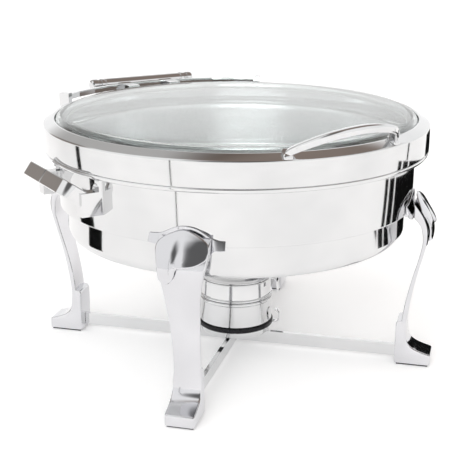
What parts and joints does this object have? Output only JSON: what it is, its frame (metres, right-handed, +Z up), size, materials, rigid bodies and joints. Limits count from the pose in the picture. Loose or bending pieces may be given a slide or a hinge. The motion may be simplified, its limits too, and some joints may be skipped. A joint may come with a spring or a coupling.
{
  "type": "round chafer",
  "caption": "Round stainless buffet chafer with hinged glass lid, stepped water pan, food pan, side handles and a four-leg stand over a gel burner.",
  "frame": {"origin": "on the table under the centre of the round pan", "axes": "+Z up, -Y to the front with the lid handle, +Y to the lid hinge, side handles on X"},
  "size_m": [0.494, 0.5066, 0.3185],
  "materials": {
    "polished_steel": "mirror polished stainless steel",
    "satin_steel": "satin stainless steel",
    "cast_steel": "polished cast stainless steel",
    "clear_glass": "clear tempered glass",
    "rubber": "matt black rubber",
    "black_plastic": "heat-resistant black resin",
    "can_tin": "tinplate",
    "fuel_gel": "fuel gel"
  },
  "bodies": {
    "stand": {"leg_fl": "cast_steel", "saddle_fl": "cast_steel", "leaf_fl": "cast_steel", "foot_pad_fl": "rubber", "leg_fr": "cast_steel", "saddle_fr": "cast_steel", "leaf_fr": "cast_steel", "foot_pad_fr": "rubber", "leg_rl": "cast_steel", "saddle_rl": "cast_steel", "leaf_rl": "cast_steel", "foot_pad_rl": "rubber", "leg_rr": "cast_steel", "saddle_rr": "cast_steel", "leaf_rr": "cast_steel", "foot_pad_rr": "rubber", "cross_bar_a": "polished_steel", "cross_bar_b": "polished_steel"},
    "burner": {"burner_dish": "polished_steel", "burner_ring": "black_plastic", "burner_cup": "polished_steel", "burner_collar": "polished_steel", "burner_grip": "polished_steel", "fuel_can": "can_tin", "fuel_gel": "fuel_gel", "snuffer_pin": "satin_steel"},
    "snuffer": {"snuffer_lid": "polished_steel"},
    "pan": {"water_pan": "polished_steel", "pan_rim": "polished_steel", "food_pan": "satin_steel", "side_handle_l": "polished_steel", "side_bracket_l_a": "polished_steel", "side_bracket_l_b": "polished_steel", "hinge_cap_l": "polished_steel", "side_handle_r": "polished_steel", "side_bracket_r_a": "polished_steel", "side_bracket_r_b": "polished_steel", "hinge_cap_r": "polished_steel", "hinge_bracket": "polished_steel", "hinge_pin": "satin_steel"},
    "lid": {"lid_ring": "polished_steel", "lid_gasket": "rubber", "lid_glass": "clear_glass", "lid_handle": "polished_steel", "lid_hinge_strap": "polished_steel", "hinge_barrel": "polished_steel"}
  },
  "joints": [
    {"name": "pan_lift", "type": "slide", "parent": "stand", "child": "pan", "axis": [0, 0, 1], "range_m": [0, 0.15]},
    {"name": "lid_hinge", "type": "hinge", "parent": "pan", "child": "lid", "pos_m": [0, 0.2488, 0.2905], "axis": [-1, 0, 0], "range_deg": [0, 100]},
    {"name": "burner_lift", "type": "slide", "parent": "stand", "child": "burner", "axis": [0, 0, 1], "range_m": [0, 0.04]},
    {"name": "snuffer_swing", "type": "hinge", "parent": "burner", "child": "snuffer", "pos_m": [-0.03021, 0.0373, 0.091], "axis": [0, 0, 1], "range_deg": [0, 100]}
  ]
}
